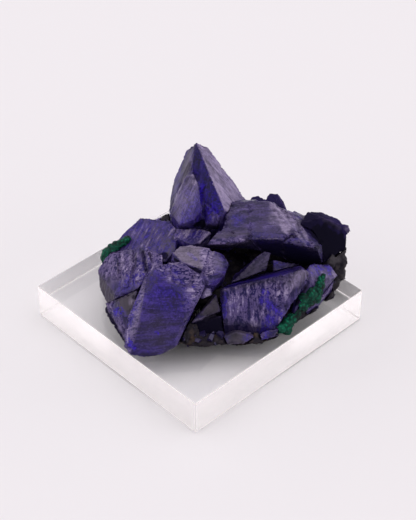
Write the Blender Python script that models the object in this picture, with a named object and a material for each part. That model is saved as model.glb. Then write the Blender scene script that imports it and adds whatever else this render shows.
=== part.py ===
"""Azurite and malachite specimen on a clear acrylic display block, in metres, +Z up.

The origin is the middle of the block's underside. The specimen has a frame of its own, turned by
SPECIMEN_TURN about the vertical: x runs to the right along the specimen's length, y runs away
from its front, and z is the height above the block's underside. Every corner below is written in
that frame, in millimetres.
"""
from math import radians, sqrt

import bmesh
import bpy
from mathutils import Matrix, Vector, noise

MM = 0.001

BLOCK_SIDE = 60 * MM
BLOCK_HEIGHT = 10 * MM
BLOCK_CHAMFER = 0.3 * MM
SPECIMEN_TURN = radians(45)

# Pieces that touch keep this clearance, and the rock stands this far above the block.
CLEARANCE = 0.3 * MM
ROCK_FLOOR = BLOCK_HEIGHT + CLEARANCE

# Faces of a crystal that meet at less than this angle are one flat face.
FLAT_ANGLE = radians(7)
FLATTEN_ROUNDS = 60
FLATTEN_SHARE = 0.5

# After two shapes are joined or cut, faces this near to level are merged, and edges this short go.
SEAM_ANGLE = radians(0.5)
SHORTEST_EDGE = 0.002 * MM

# Spire that stands over the cluster, with the lower crystal grown on to its left foot.
SPIRE = [
    (-1, 9, 50),                                                     # tip
    (-3.5, 12.5, 45), (1.6, 11.4, 46.7), (0, 14, 44),                      # crown
    (-7, 13, 34.5), (8, 13.5, 36),                                   # knees on the outline
    (6.5, 4, 32.5), (4.5, 3, 27), (1.5, 3.5, 27), (-4.5, 5, 30.5),   # foot of the front face
    (-8, 9.5, 28.5), (12, 14, 27.5), (12.5, 12.5, 24.5),             # feet of the side faces
    (-7.5, 17.5, 21), (10, 19, 20), (2, 20, 30),                     # back
    (-7, 7.5, 18), (8, 6, 18),                                       # root
]
SPIRE_SHOULDER = [
    (-3.5, 6, 41.5), (-1.5, 5, 43), (-0.5, 4, 41), (-2.5, 9, 41.5),
    (0.5, 1, 35), (-1.5, 1, 32), (-5, 2, 29.5), (-7.5, 6, 30), (-6.5, 8, 33.5),
    (-7, 10, 20), (0, 9, 20), (-3.5, 7, 25),
]
SPIRE_STEP = [
    (2, 2.5, 31.5), (3.5, 3, 33), (5, 3.4, 31), (4.5, 2.4, 28), (1.5, 2.2, 28), (1, 6, 34),
    (4, 6, 26),
]

# Tabular crystal that lies over the right half like a roof: a top face that tips forward, a dark
# front face that leans under, and lower shelves down its right end.
ROOF_LOBE = [
    (2, -5, 29), (4.5, -1.5, 30), (6.5, 1, 30.5), (10.5, -4, 29), (6.5, -5, 29),
    (3.5, -3, 26), (8.5, -2.5, 26), (7, 2, 26),
]
ROOF_MIDDLE = [
    (6.5, 1, 30.5), (7, 7.5, 32.5), (14.5, 8, 32.5), (15.5, -2.5, 29.5), (10.5, -4, 29),
    (8.5, -2.5, 26.5), (16, -2, 24.5), (6, 12, 20), (15, 13, 20), (15, 3, 21), (7, 3, 22),
    (8, 11, 30.5), (14.5, 12, 30),
]
ROOF_RIGHT = [
    (13, -3.5, 29.5), (15.5, -2.5, 29.5), (21, -3, 29), (23.5, 0, 30), (17.5, 8, 32.5),
    (12.5, 8, 32.5), (25.5, 0.5, 28.5), (19.5, 8.5, 31), (16, -2, 24.5), (21.5, -1, 21.5),
    (14, 12, 20), (23, 10, 20), (24, 2, 20), (13, 11.5, 30), (19, 12, 29),
]
ROOF_SHELF = [
    (20.5, -2.5, 28), (22, -2.5, 28), (25.5, -3, 28), (28.5, -4, 27.5), (29, -3, 27.5),
    (23, 6.5, 30.5), (19.5, 8.5, 30.5), (30, -3.5, 26), (31, -1.5, 26), (26.5, 6, 28.5),
    (24.5, 7.5, 29), (21.5, -1, 21.5), (25.5, 0, 18.5), (31.5, 0.5, 18.5), (20, 12, 20),
    (28, 10, 20), (24, 10.5, 27),
]
ROOF_LOW_SHELF = [
    (26.5, 5.5, 28.5), (24.5, 7.5, 29), (24, 11, 27.5), (28.5, 9, 26.5), (29.5, 4.5, 26.5),
    (24, 12, 19), (29, 10, 19), (30, 3, 19),
]

# Blocky, nearly black crystal at the right end.
DARK_BLOCK = [
    (25.5, 2.5, 30), (27.5, 6.5, 30.5), (31, 7, 30), (35, 6.5, 28.5), (37.5, 5, 27),
    (36.5, 4.5, 26), (31, 4.5, 30.5), (37.5, 4, 24), (37.5, 3, 21.5), (33, 1, 19),
    (30.5, -0.5, 18.5), (28, -0.5, 20), (26.5, 1, 26), (34, 11, 25), (28.5, 12, 25),
    (35.5, 8, 17), (29, 10, 17),
]
DARK_TIP = [
    (38.5, 4, 26.5), (38, 5, 27.5), (37.5, 4, 25), (36.5, 5.5, 27.5), (36, 5, 24.5), (36.5, 7, 26),
]

# Broad plate at the left rear, and the small lid that lies on its inner end.
PLATE = [
    (-15.6, 11, 24.5), (-9.9, 9, 25.6), (-5.3, 6.8, 26.3), (-6.3, 1.5, 25), (-6.2, -2.2, 24.4),
    (-8.5, -5, 23.3), (-15.3, -3.8, 21.8), (-20.5, -0.5, 21), (-23, 3, 21.1), (-20, 6.5, 22.3),
    (-23, 4, 17), (-18, 12, 16), (-8, 11, 16), (-6.5, 0, 16), (-20, 0, 16),
]
LID = [
    (-5, 6.2, 27), (-3, 5.6, 27.2), (2.8, 2, 27), (0.3, -0.8, 25.9), (-2, -1, 25.6), (-6.7, 2, 25.7),
    (-5, 6, 22), (2, 2.5, 22), (-1, -0.8, 22), (-6.5, 2, 22),
]

# Etched block at the left edge, with worn ribs across its top.
LEFT_BLOCK = [
    (-26, -3, 17.5), (-25, -1, 19), (-23, 0.5, 21), (-18.5, -0.5, 23), (-12.5, -3.5, 25.5),
    (-9.3, -5.5, 25.4), (-8.8, -9.5, 25.3),
    (-11.5, -9.5, 24), (-15.5, -13.5, 21), (-20, -13.5, 18.5), (-23, -11.5, 14.5),
    (-25.5, -7, 16), (-24.5, -6, 18), (-21, 2, 13), (-13, -5, 14), (-22, -6, 12.5),
]
LEFT_RIB_A = [
    (-24.5, -1, 20), (-22.5, 0.3, 21.8), (-20.8, -0.2, 22.5), (-20.2, -6, 21.3), (-21.5, -10, 18.2),
    (-23.5, -9, 17), (-21, -4, 15),
]
LEFT_RIB_B = [
    (-20.2, -0.6, 22.8), (-18.5, -0.6, 23.6), (-17.3, -1.2, 23.9), (-16.8, -7, 23.2),
    (-17.8, -12, 20.6), (-19.5, -11.5, 19.6), (-18, -4, 16),
]
LEFT_RIB_C = [
    (-16.6, -1.8, 24.2), (-15, -1.6, 25), (-12.8, -3, 25.9), (-11.8, -8, 25), (-13.5, -11.5, 23),
    (-16, -11.5, 21.6), (-15, -5, 18),
]

# Thick crystal at the front left: a smooth main face, a worn bevel above it, a narrow left side
# and a pointed foot that reaches the block.
FRONT_BODY = [
    (-12.5, -14.5, 27), (-10, -14.5, 27), (-8.5, -15, 26), (-4, -18.5, 22), (-1, -19.5, 21),
    (-3.5, -22, 18), (-14.5, -23.5, 18),                                       # main face
    (0, -18, 21.5), (1.5, -14, 23.5), (0.5, -11.5, 25.5), (-4.5, -10.5, 27.5),
    (-7.5, -11.5, 28), (-9.5, -13, 28),                                        # bevel
    (-14, -15, 23), (-17.5, -20, 17), (-18, -25, 12),                          # left side
    (-16.5, -27, 11.5), (-13, -27, 10.5), (-9, -26.5, 11), (-5.5, -25, 12.5), (-4.5, -23.5, 15.5),
    (-13, -14, 12), (-2, -14, 12), (0, -9, 18), (-10, -9, 18),                 # root
]
FRONT_CAP = [
    (-6.5, -8, 28.5), (-4.5, -6, 29), (-2, -5.5, 29), (2.5, -6, 28.5), (4, -7, 27.5), (1, -12, 26.5),
    (-4, -10.5, 27.5), (0.5, -12.5, 25), (-4.5, -11, 25.5), (-7, -8.5, 26), (-6, -6, 19), (3, -7, 19),
]
FRONT_FLANK = [
    (4, -6.5, 28), (6, -5.5, 26), (7.5, -6.5, 24), (6.5, -9.5, 22.5), (4.5, -11.5, 21),
    (2.5, -13, 22.5), (2.5, -11, 26.5), (-2, -9, 27), (-3, -12.5, 23), (6, -6, 17), (-3, -7, 17),
    (3.5, -10.5, 18),
]
FRONT_CHIP = [
    (1, -15.5, 20), (2, -13.5, 21.5), (3.5, -13, 21), (3.5, -14, 20), (1.5, -15, 19.5), (-2, -13, 20),
    (0, -11, 22),
]
FRONT_STEP = [
    (-6.5, -12.5, 28.3), (-3.5, -11.5, 27.9), (-0.5, -13, 26.2), (-2.5, -16, 24.5),
    (-6.5, -15.5, 25.9), (-4, -12, 23), (-6, -12, 24),
]

# Square-ended crystal at the front right, its front face ribbed from top to bottom.
RIGHT_FRONT = [
    (5.5, -13.5, 21), (14.5, -12.5, 22.5), (21.5, -11.5, 24), (26, -10.5, 25.5), (27.5, -9.5, 24),
    (27.5, -11, 23.5), (24.5, -12.5, 22), (24.5, -14, 19.5), (22.5, -15.5, 16.5),
    (18.5, -18.5, 11.5), (16, -19.2, 10.7), (7, -19.3, 10.7), (5.8, -16, 16.5),
    (8.5, -8, 19), (18.5, -5, 20), (25.5, -5, 22), (8, -9, 12), (21, -8, 12),
]
RIGHT_FRONT_STEP = [
    (20.5, -12.5, 22.5), (26, -11, 24.5), (26, -12, 22.5), (23.5, -14.5, 18), (20, -15.5, 17.5),
    (18.5, -15, 19), (22, -10, 20),
]

# Crystal behind the green crust at the right.
RIGHT_REAR = [
    (27.8, -6, 23), (29, -4, 22), (33, -2, 20.5), (35, -4, 18.5), (32, -6.5, 19), (28.5, -9, 20.5),
    (27, -12, 18), (24, -15, 15), (32, -7.5, 16), (26.5, -12.5, 13.5), (28, -2, 12), (22, -9, 12),
    (34, 0, 13),
]

# Small crystals in the hollow under the roof and in the crevices.
BLADE = [
    (8, -9.5, 20), (15.5, -4, 25), (16.5, -3.5, 25.5), (18, -4, 25.5), (17, -7.5, 23), (13, -8.5, 21.5),
    (9, -5, 19), (15, -3.5, 19), (16, -2.8, 24),
]
WEDGE = [
    (18.8, -4.5, 23.5), (25.5, -3.5, 21.5), (19, -6.5, 21.5), (18.8, -2.5, 21.5), (24.5, -2.5, 20),
    (19, -4, 18), (22, -4, 18),
]
NOOK = [
    (-1.6, -18.5, 14.4), (4.5, -13, 19), (5.5, -15.5, 16), (2, -17, 15), (0, -13, 13), (4, -11.5, 18),
    (6, -13, 12.5), (-1, -15, 13),
]
NOOK_FOOT = [
    (-1.5, -17.5, 13.6), (2.5, -17.3, 14.6), (6, -16.5, 15), (6.5, -18.5, 12), (3, -20, 11), (-3, -20.6, 11),
    (-2, -15, 11.2), (6, -14, 11.2), (1, -15, 14),
]
LOW_LEFT = [
    (-20.3, -13, 18.4), (-18, -13.2, 19.9), (-15.5, -13.5, 21), (-16.5, -18.5, 16.5), (-19.5, -18, 15.5),
    (-23.5, -11.5, 14.5), (-23.7, -12, 12.5), (-23, -14, 12), (-21, -16.5, 11.2), (-18, -22.5, 11.2),
    (-14, -11, 12), (-20, -9, 12),
]
RIM_LEFT = [
    (6.5, -20.6, 11.9), (9.5, -19.8, 12.7), (14, -20.9, 12.1), (11.5, -22.4, 11.1), (7.5, -22.6, 11.1),
    (8, -16, 11.7), (13, -16, 11.7),
]
RIM_END = [
    (27.5, -12, 13.8), (29.5, -11, 14.8), (31.8, -9, 15.5), (33.5, -6, 16.5), (34.5, -3.5, 16),
    (34, -3.5, 12.5), (30.5, -8, 11.2), (27.5, -11, 11.2), (29, -6, 13), (32, -3, 15),
]
RIM_RIGHT = [
    (15.5, -20, 12.2), (17.5, -19.2, 12.6), (20.2, -18.2, 12.4), (19.2, -19.6, 11.2), (16, -20.8, 11.2),
    (17, -16, 11.7), (21, -15, 11.7),
]

# Crystals of the rear side, from the two dark tips that stand over the roof to the low ones.
REAR_TIP_LEFT = [
    (12.5, 15, 27), (13.5, 17, 27), (15, 17.5, 27), (17, 16.5, 26.5), (17.5, 13.5, 26.5), (11, 15, 18),
    (10, 20.5, 15), (17, 20.5, 15), (12, 13, 15), (18, 13, 15),
]
REAR_TIP_RIGHT = [
    (16.5, 14.5, 27.5), (18, 17, 28.5), (20, 17.5, 28), (21.5, 16, 26.5), (22.5, 13, 25.5), (19, 20, 18),
    (24, 17, 17), (17, 20.5, 13), (25, 16, 13), (17, 13, 15), (24, 12, 15),
]
REAR_LOW_RIGHT = [
    (25, 13.5, 21), (30, 10.5, 21.5), (33.5, 9, 17), (29, 13.5, 17), (24.5, 16, 18), (25, 17, 12.5),
    (33.5, 9.5, 12.5), (26, 11, 12.5),
]
REAR_WEDGE = [
    (-4, 20, 27), (3, 22, 27.5), (7, 21, 24), (5, 24, 18), (-4, 23.5, 17), (-7, 20, 19), (-5, 24, 13),
    (7, 24, 13), (8, 18, 14), (-7, 17, 14),
]
REAR_LEFT = [
    (-17, 13.5, 19.5), (-11.5, 12.8, 22.3), (-8.5, 14.5, 22.8), (-8.5, 18.5, 19.5), (-13, 20, 16.5),
    (-19.5, 16, 16), (-20, 16.5, 12.5), (-12, 21, 12.5), (-9, 19, 13), (-10, 13, 13), (-18, 13, 13),
]
REAR_SPLINTER = [
    (-23.5, 7, 16.5), (-21, 9.5, 17), (-20.5, 12, 15.5), (-23.8, 8.5, 13.5), (-24.2, 7.5, 11.6),
    (-20.5, 13, 11.6), (-21, 7, 12),
]

# Each crystal with the shapes that grew together in it, front ones first: a later crystal gives
# way to the earlier ones where they meet.
CRYSTALS = {
    "spire_crystal": [SPIRE, SPIRE_SHOULDER, SPIRE_STEP],
    "roof_crystal": [ROOF_MIDDLE, ROOF_LOBE, ROOF_RIGHT, ROOF_SHELF, ROOF_LOW_SHELF],
    "front_crystal": [FRONT_BODY, FRONT_CAP, FRONT_FLANK, FRONT_CHIP, FRONT_STEP],
    "right_front_crystal": [RIGHT_FRONT, RIGHT_FRONT_STEP],
    "dark_end_crystal": [DARK_BLOCK, DARK_TIP],
    "left_block_crystal": [LEFT_BLOCK, LEFT_RIB_A, LEFT_RIB_B, LEFT_RIB_C],
    "left_plate_crystal": [PLATE, LID],
    "right_rear_crystal": [RIGHT_REAR],
    "blade_crystal": [BLADE],
    "wedge_crystal": [WEDGE],
    "nook_crystal": [NOOK, NOOK_FOOT],
    "low_left_crystal": [LOW_LEFT],
    "rim_crystal_left": [RIM_LEFT],
    "rim_crystal_right": [RIM_RIGHT],
    "rim_crystal_end": [RIM_END],
    "back_crystal_right": [REAR_TIP_RIGHT],
    "back_crystal_middle": [REAR_TIP_LEFT],
    "back_wedge_crystal": [REAR_WEDGE],
    "back_crystal_left": [REAR_LEFT],
    "back_low_crystal": [REAR_LOW_RIGHT],
    "back_splinter_crystal": [REAR_SPLINTER],
}

# Knobs of a crust: middle and radius.
MALACHITE_LEFT = [
    ((-22.5, 1.9, 21), 1.4), ((-21.3, 2.6, 21.6), 1.3), ((-20, 3.2, 22.1), 1.1),
    ((-18.8, 3.9, 22.6), 0.9), ((-23.5, 1.6, 19.9), 1.4), ((-24.1, 1.6, 18.7), 1.3),
    ((-23.4, 1.1, 19), 1.3), ((-23.8, 3.4, 18.4), 1.4),
]
MALACHITE_RIGHT = [
    ((28.1, -10.6, 17.8), 1.9), ((26.4, -11.8, 17.4), 1.5), ((29.8, -9.3, 17.7), 1.6),
    ((30.4, -8.3, 18.9), 1.5), ((31, -7.7, 20), 1), ((31.4, -7.4, 20.9), 0.7),
    ((29.8, -10.3, 15.9), 1.3), ((27.9, -11.4, 16.1), 1.6), ((25.6, -12.9, 15.9), 1.4),
    ((26.4, -13, 15.2), 1.2), ((24.8, -14.3, 14.7), 1.3), ((23.8, -15.3, 13.6), 1.4),
    ((22.5, -16.4, 12.7), 1.6), ((20.9, -17.4, 12.1), 1.5), ((22.3, -17.4, 11.5), 1.3),
]

# Lumps of the dark host rock: middle, the three half sizes and how finely it is faceted.
ROCK_LUMPS = [
    ((0, 2, 13), (19, 13, 4.6), 3), ((-14, -3, 13), (11, 12, 4.5), 3),
    ((-16, -13, 12.5), (6.5, 7, 3.4), 2), ((-8, -17, 12.5), (9, 7, 3.6), 2),
    ((2, -17.6, 11), (8.5, 5.8, 1.3), 3), ((12, -17.2, 11), (8.5, 5.3, 1.2), 3),
    ((18.5, -13, 12), (6.5, 5.4, 2.6), 2), ((22.5, -6.5, 13), (7, 7.5, 4.8), 3),
    ((29, 2, 13), (7.5, 6.5, 5), 3),
    ((28, -8.6, 12), (2.6, 2.6, 1.8), 2), ((32, -3.6, 12.2), (2.8, 2.8, 2), 2),
    ((22, 8, 14), (11, 9, 6), 3), ((12, 14, 14), (10, 8, 6), 3), ((-2, 15, 14), (11, 8, 6), 3),
    ((-8, 12, 21), (3, 2.6, 4.2), 2), ((-14.5, 10, 13.5), (8, 8, 5.2), 3),
    ((-20.5, 2.5, 13), (5, 7, 4.5), 2), ((33.5, 3, 16), (3.6, 4, 6), 2),
    ((36, 3.6, 20.4), (1.9, 2, 2), 2), ((36.4, 2.6, 17.4), (2, 2.2, 2.2), 2),
    ((35.8, 1.4, 14.6), (2.2, 2.4, 2.4), 2), ((34.4, -0.4, 12.4), (2.1, 2.2, 2.1), 2),
]
ROCK_ROUGHNESS = 0.17
ROCK_GRAIN = 3.2 * MM
KNOB_ROUGHNESS = 0.2
KNOB_GRAIN = 1.1 * MM
KNOB_RINGS = 2

# A grown knob's facets cut inside its corners, so it is grown by a little more than the clearance.
KNOB_CLEARANCE = 1.3 * CLEARANCE

AZURITE = ((0.012, 0.010, 0.11, 1), 0.3)
MALACHITE = ((0.004, 0.09, 0.045, 1), 0.6)
ROCK = ((0.022, 0.014, 0.012, 1), 0.8)
ACRYLIC = ((0.97, 0.97, 0.98, 1), 0.04)


def millimetres(corner):
    return Vector(corner) * MM


def collection(name):
    group = bpy.data.collections.new(name)
    bpy.context.scene.collection.children.link(group)
    return group


def material(name, finish, clear=False):
    colour, roughness = finish
    new = bpy.data.materials.new(name)
    new.use_nodes = True
    shader = new.node_tree.nodes["Principled BSDF"]
    shader.inputs["Base Color"].default_value = colour
    shader.inputs["Roughness"].default_value = roughness
    shader.inputs["Metallic"].default_value = 0
    if clear:
        shader.inputs["Transmission Weight"].default_value = 1
        shader.inputs["IOR"].default_value = 1.49
    return new


def add_object(name, bm, group, parent=None):
    """Turn a bmesh into an object of the group."""
    mesh = bpy.data.meshes.new(name)
    bm.to_mesh(mesh)
    bm.free()
    made = bpy.data.objects.new(name, mesh)
    group.objects.link(made)
    made.parent = parent
    return made


def wrap(bm):
    """Close the vertices of a bmesh into their convex hull."""
    made = bmesh.ops.convex_hull(bm, input=bm.verts[:])
    spare = {v for v in made["geom_interior"] + made["geom_unused"] if isinstance(v, bmesh.types.BMVert)}
    bmesh.ops.delete(bm, geom=list(spare), context="VERTS")


def crystal_shape(corners):
    """Flat-faced solid around the corners."""
    bm = bmesh.new()
    for corner in corners:
        bm.verts.new(millimetres(corner))
    wrap(bm)
    bmesh.ops.dissolve_limit(bm, angle_limit=FLAT_ANGLE, verts=bm.verts[:], edges=bm.edges[:])
    bmesh.ops.planar_faces(bm, faces=bm.faces[:], iterations=FLATTEN_ROUNDS, factor=FLATTEN_SHARE)
    bmesh.ops.recalc_face_normals(bm, faces=bm.faces[:])
    return bm


def swollen_crystal(corners):
    """The same solid grown outwards by at least the clearance."""
    core = crystal_shape(corners)
    reach = CLEARANCE * sqrt(3)
    bm = bmesh.new()
    for vertex in core.verts:
        for axis in range(3):
            for side in (-reach, reach):
                shift = Vector()
                shift[axis] = side
                bm.verts.new(vertex.co + shift)
    core.free()
    wrap(bm)
    bmesh.ops.dissolve_limit(bm, angle_limit=FLAT_ANGLE / 2, verts=bm.verts[:], edges=bm.edges[:])
    bmesh.ops.recalc_face_normals(bm, faces=bm.faces[:])
    return bm


def lump_shape(middle, half_sizes, rings, roughness, grain, swell=0.0):
    """Rough ball whose half sizes differ along the three axes."""
    bm = bmesh.new()
    bmesh.ops.create_icosphere(bm, subdivisions=rings, radius=1)
    centre = millimetres(middle)
    sizes = millimetres(half_sizes)
    for vertex in bm.verts:
        direction = vertex.co.copy()
        place = centre + direction * sizes
        vertex.co = place + direction * sizes * roughness * noise.noise(place / grain) + direction * swell
    return bm


def union(objects):
    """Join overlapping solids into the first one."""
    first = objects[0]
    for other in objects[1:]:
        modifier = first.modifiers.new("grown with " + other.name, "BOOLEAN")
        modifier.operation = "UNION"
        modifier.object = other


def cut(body, cutter):
    modifier = body.modifiers.new("clear of " + cutter.name, "BOOLEAN")
    modifier.operation = "DIFFERENCE"
    modifier.object = cutter


def islands(bm):
    """Sets of faces that hang together, the largest first."""
    left = set(bm.faces)
    found = []
    while left:
        seed = left.pop()
        island = {seed}
        front = [seed]
        while front:
            face = front.pop()
            for edge in face.edges:
                for near in edge.link_faces:
                    if near in left:
                        left.remove(near)
                        island.add(near)
                        front.append(near)
        found.append(island)
    return sorted(found, key=lambda island: -sum(face.calc_area() for face in island))


def settle(body):
    """Apply the modifiers and keep the one main body."""
    graph = bpy.context.evaluated_depsgraph_get()
    mesh = bpy.data.meshes.new_from_object(body.evaluated_get(graph))
    body.modifiers.clear()
    bm = bmesh.new()
    bm.from_mesh(mesh)
    for island in islands(bm)[1:]:
        bmesh.ops.delete(bm, geom=list(island), context="FACES")
    bmesh.ops.remove_doubles(bm, verts=bm.verts[:], dist=SHORTEST_EDGE)
    bmesh.ops.dissolve_limit(bm, angle_limit=SEAM_ANGLE, verts=bm.verts[:], edges=bm.edges[:])
    bmesh.ops.triangulate(bm, faces=bm.faces[:])
    bm.to_mesh(mesh)
    bm.free()
    old = body.data
    body.data = mesh
    bpy.data.meshes.remove(old)


def as_cutter(shape):
    shape.hide_render = True
    shape.display_type = "WIRE"
    return shape


def boxes_meet(one, other):
    """Whether two objects' boxes overlap, in their shared frame."""
    for axis in range(3):
        low = max(min(v.co[axis] for v in one.data.vertices), min(v.co[axis] for v in other.data.vertices))
        high = min(max(v.co[axis] for v in one.data.vertices), max(v.co[axis] for v in other.data.vertices))
        if low > high:
            return False
    return True


def make_block(group):
    """Clear square block with polished, slightly broken edges."""
    bm = bmesh.new()
    bmesh.ops.create_cube(bm, size=1)
    bmesh.ops.scale(bm, vec=(BLOCK_SIDE, BLOCK_SIDE, BLOCK_HEIGHT), verts=bm.verts[:])
    bmesh.ops.translate(bm, vec=(0, 0, BLOCK_HEIGHT / 2), verts=bm.verts[:])
    bmesh.ops.bevel(bm, geom=bm.edges[:], offset=BLOCK_CHAMFER, segments=1, profile=0.5,
                    affect="EDGES", material=-1)
    block = add_object("acrylic_block", bm, group)
    block.data.materials.append(material("acrylic", ACRYLIC, clear=True))
    return block


def make_crystals(group, cutters, frame):
    """Every crystal, each cut clear of the ones before it. Returns all the clearance cutters."""
    azurite_cutters = []
    for name, growths in CRYSTALS.items():
        shapes = [add_object(name, crystal_shape(growths[0]), group, frame)]
        for number, corners in enumerate(growths[1:], 1):
            growth = add_object(f"{name}_growth_{number}", crystal_shape(corners), cutters, frame)
            shapes.append(as_cutter(growth))
        union(shapes)
        body = shapes[0]
        settle(body)
        for cutter in azurite_cutters:
            if boxes_meet(body, cutter):
                cut(body, cutter)
        settle(body)
        body.data.materials.append(material(name, AZURITE))
        for number, corners in enumerate(growths):
            cutter = add_object(f"{name}_clearance_{number}", swollen_crystal(corners), cutters, frame)
            azurite_cutters.append(as_cutter(cutter))
    return azurite_cutters


def make_crust(name, knobs, group, cutters, frame, in_the_way):
    """Knobbly malachite crust, cut clear of the crystals it grew on."""
    shapes = []
    clearances = []
    for number, (middle, radius) in enumerate(knobs):
        sizes = (radius, radius, radius)
        home = group if number == 0 else cutters
        bm = lump_shape(middle, sizes, KNOB_RINGS, KNOB_ROUGHNESS, KNOB_GRAIN)
        shapes.append(add_object(name if number == 0 else f"{name}_knob_{number}", bm, home, frame))
        grown = lump_shape(middle, sizes, KNOB_RINGS, KNOB_ROUGHNESS, KNOB_GRAIN, KNOB_CLEARANCE)
        clearances.append(as_cutter(add_object(f"{name}_clearance_{number}", grown, cutters, frame)))
    for knob in shapes[1:]:
        as_cutter(knob)
    union(shapes)
    body = shapes[0]
    settle(body)
    for cutter in in_the_way:
        if boxes_meet(body, cutter):
            cut(body, cutter)
    settle(body)
    body.data.materials.append(material(name, MALACHITE))
    return clearances


def floor_cutter(cutters, frame):
    """Everything below the level that the rock rests at, well past the block's sides."""
    depth = 2 * BLOCK_SIDE
    bm = bmesh.new()
    bmesh.ops.create_cube(bm, size=depth)
    bmesh.ops.translate(bm, vec=(0, 0, ROCK_FLOOR - depth / 2), verts=bm.verts[:])
    return as_cutter(add_object("rock_floor", bm, cutters, frame))


def make_rock(group, cutters, frame, in_the_way):
    """Dark host rock under the crystals, flat where it rests."""
    shapes = []
    for number, (middle, half_sizes, rings) in enumerate(ROCK_LUMPS):
        name = "host_rock" if number == 0 else f"rock_lump_{number}"
        home = group if number == 0 else cutters
        bm = lump_shape(middle, half_sizes, rings, ROCK_ROUGHNESS, ROCK_GRAIN)
        shapes.append(add_object(name, bm, home, frame))
    for lump in shapes[1:]:
        as_cutter(lump)
    union(shapes)
    rock = shapes[0]
    settle(rock)
    cut(rock, floor_cutter(cutters, frame))
    for cutter in in_the_way:
        if boxes_meet(rock, cutter):
            cut(rock, cutter)
    settle(rock)
    rock.data.materials.append(material("host_rock", ROCK))


def main():
    for old in list(bpy.data.objects):
        bpy.data.objects.remove(old, do_unlink=True)
    group = collection("azurite_malachite_specimen")
    cutters = collection("cutters")
    frame = bpy.data.objects.new("specimen", None)
    group.objects.link(frame)
    frame.matrix_world = Matrix.Rotation(SPECIMEN_TURN, 4, "Z")
    make_block(group)
    in_the_way = make_crystals(group, cutters, frame)
    crusts = make_crust("malachite_crust_left", MALACHITE_LEFT, group, cutters, frame, in_the_way)
    crusts += make_crust("malachite_crust_right", MALACHITE_RIGHT, group, cutters, frame, in_the_way)
    make_rock(group, cutters, frame, in_the_way + crusts)


main()
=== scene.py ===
# %% [markdown]
# # An azurite and malachite specimen on a clear block
#
# The real thing is a cluster of thick azurite crystals, near black with a violet blue body, grown on
# a dark rock that carries two crusts of green malachite. It stands on a block of clear acrylic. The
# solids are already made to size. This script gives each of them the surface that the real mineral
# has: growth lines, etched patches, worn edges, and a finish that fits.

# %% The fixed frame
import random
from math import cos, floor, radians, sin

import bmesh
import bpy
from mathutils import Matrix, Vector, noise
from mathutils.bvhtree import BVHTree
from mathutils.kdtree import KDTree


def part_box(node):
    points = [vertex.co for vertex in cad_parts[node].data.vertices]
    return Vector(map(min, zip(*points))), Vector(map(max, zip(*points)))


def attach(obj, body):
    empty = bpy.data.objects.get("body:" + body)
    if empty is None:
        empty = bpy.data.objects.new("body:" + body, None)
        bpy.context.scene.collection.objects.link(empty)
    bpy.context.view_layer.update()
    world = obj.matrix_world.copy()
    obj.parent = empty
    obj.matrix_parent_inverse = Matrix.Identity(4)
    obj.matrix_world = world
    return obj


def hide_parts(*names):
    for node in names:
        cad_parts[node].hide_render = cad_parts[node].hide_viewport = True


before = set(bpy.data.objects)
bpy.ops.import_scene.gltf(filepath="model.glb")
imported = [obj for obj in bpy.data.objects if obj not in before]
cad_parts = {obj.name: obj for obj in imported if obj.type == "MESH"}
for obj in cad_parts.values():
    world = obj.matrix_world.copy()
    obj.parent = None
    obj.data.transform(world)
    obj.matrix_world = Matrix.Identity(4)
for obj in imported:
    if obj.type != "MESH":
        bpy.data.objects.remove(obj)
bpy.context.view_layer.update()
print("nodes:", len(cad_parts))

# %% [markdown]
# ## Two frames and one unit
#
# The specimen lies across the block's diagonal, so it is easier to think of places on it in a frame
# of its own: x to the right along the specimen, y away from its front, z up from the block's
# underside, all in millimetres. `at` turns such a place into metres in the part's frame, and `toward`
# turns a direction.

# %% Places and directions on the specimen
MM = 0.001
SPECIMEN_TURN = Matrix.Rotation(radians(45), 3, "Z")


def at(x, y, z):
    return SPECIMEN_TURN @ Vector((x, y, z)) * MM


def toward(x, y, z):
    return (SPECIMEN_TURN @ Vector((x, y, z))).normalized()


# %% [markdown]
# ## Camera
#
# The photograph was taken with a long lens from about 40 degrees above the table, looking straight
# at a corner of the block. The block is square, so its corners in the picture settle the distance and
# the lens together. Blender fits the 36 mm sensor to the picture's long side.

# %% Camera at the photograph's viewing angle
CAMERA_AZIMUTH = radians(46.14)
CAMERA_ELEVATION = radians(39.8)
CAMERA_DISTANCE = 390 * MM
CAMERA_TARGET = Vector((1.52, 1.52, 19.62)) * MM
CAMERA_LENS = 105
SENSOR_WIDTH = 36
CAMERA_CLIP = 10 * MM
LIGHT_BOUNCES = 32

scene = bpy.context.scene
camera_side = Vector((sin(CAMERA_AZIMUTH) * cos(CAMERA_ELEVATION),
                      -cos(CAMERA_AZIMUTH) * cos(CAMERA_ELEVATION),
                      sin(CAMERA_ELEVATION)))
camera = bpy.data.objects.new("camera", bpy.data.cameras.new("camera"))
camera.data.lens = CAMERA_LENS
camera.data.sensor_width = SENSOR_WIDTH
camera.data.clip_start = CAMERA_CLIP
camera.location = CAMERA_TARGET + camera_side * CAMERA_DISTANCE
camera.rotation_euler = camera_side.to_track_quat("Z", "Y").to_euler()
scene.collection.objects.link(camera)
scene.camera = camera
scene.view_settings.view_transform = "Standard"

# A ray that enters the clear block is mirrored inside it many times before it leaves.
scene.cycles.max_bounces = LIGHT_BOUNCES
scene.cycles.transmission_bounces = LIGHT_BOUNCES
scene.cycles.glossy_bounces = LIGHT_BOUNCES
scene.cycles.blur_glossy = 0.0
print("camera at", [round(length / MM) for length in camera.location], "mm")

# %% [markdown]
# ## Node helpers
#
# A material is a small graph, and most of its lines would only make a node and wire it up. These
# helpers keep that short: `add` makes a node with its values set, and a value that is itself a socket
# is linked instead.

# %% Node helpers
# A Mix node has one set of sockets for each kind of value, so those for colours go by number.
MIX_SHARE, MIX_ONE, MIX_OTHER, MIX_RESULT = 0, 6, 7, 2


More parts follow.
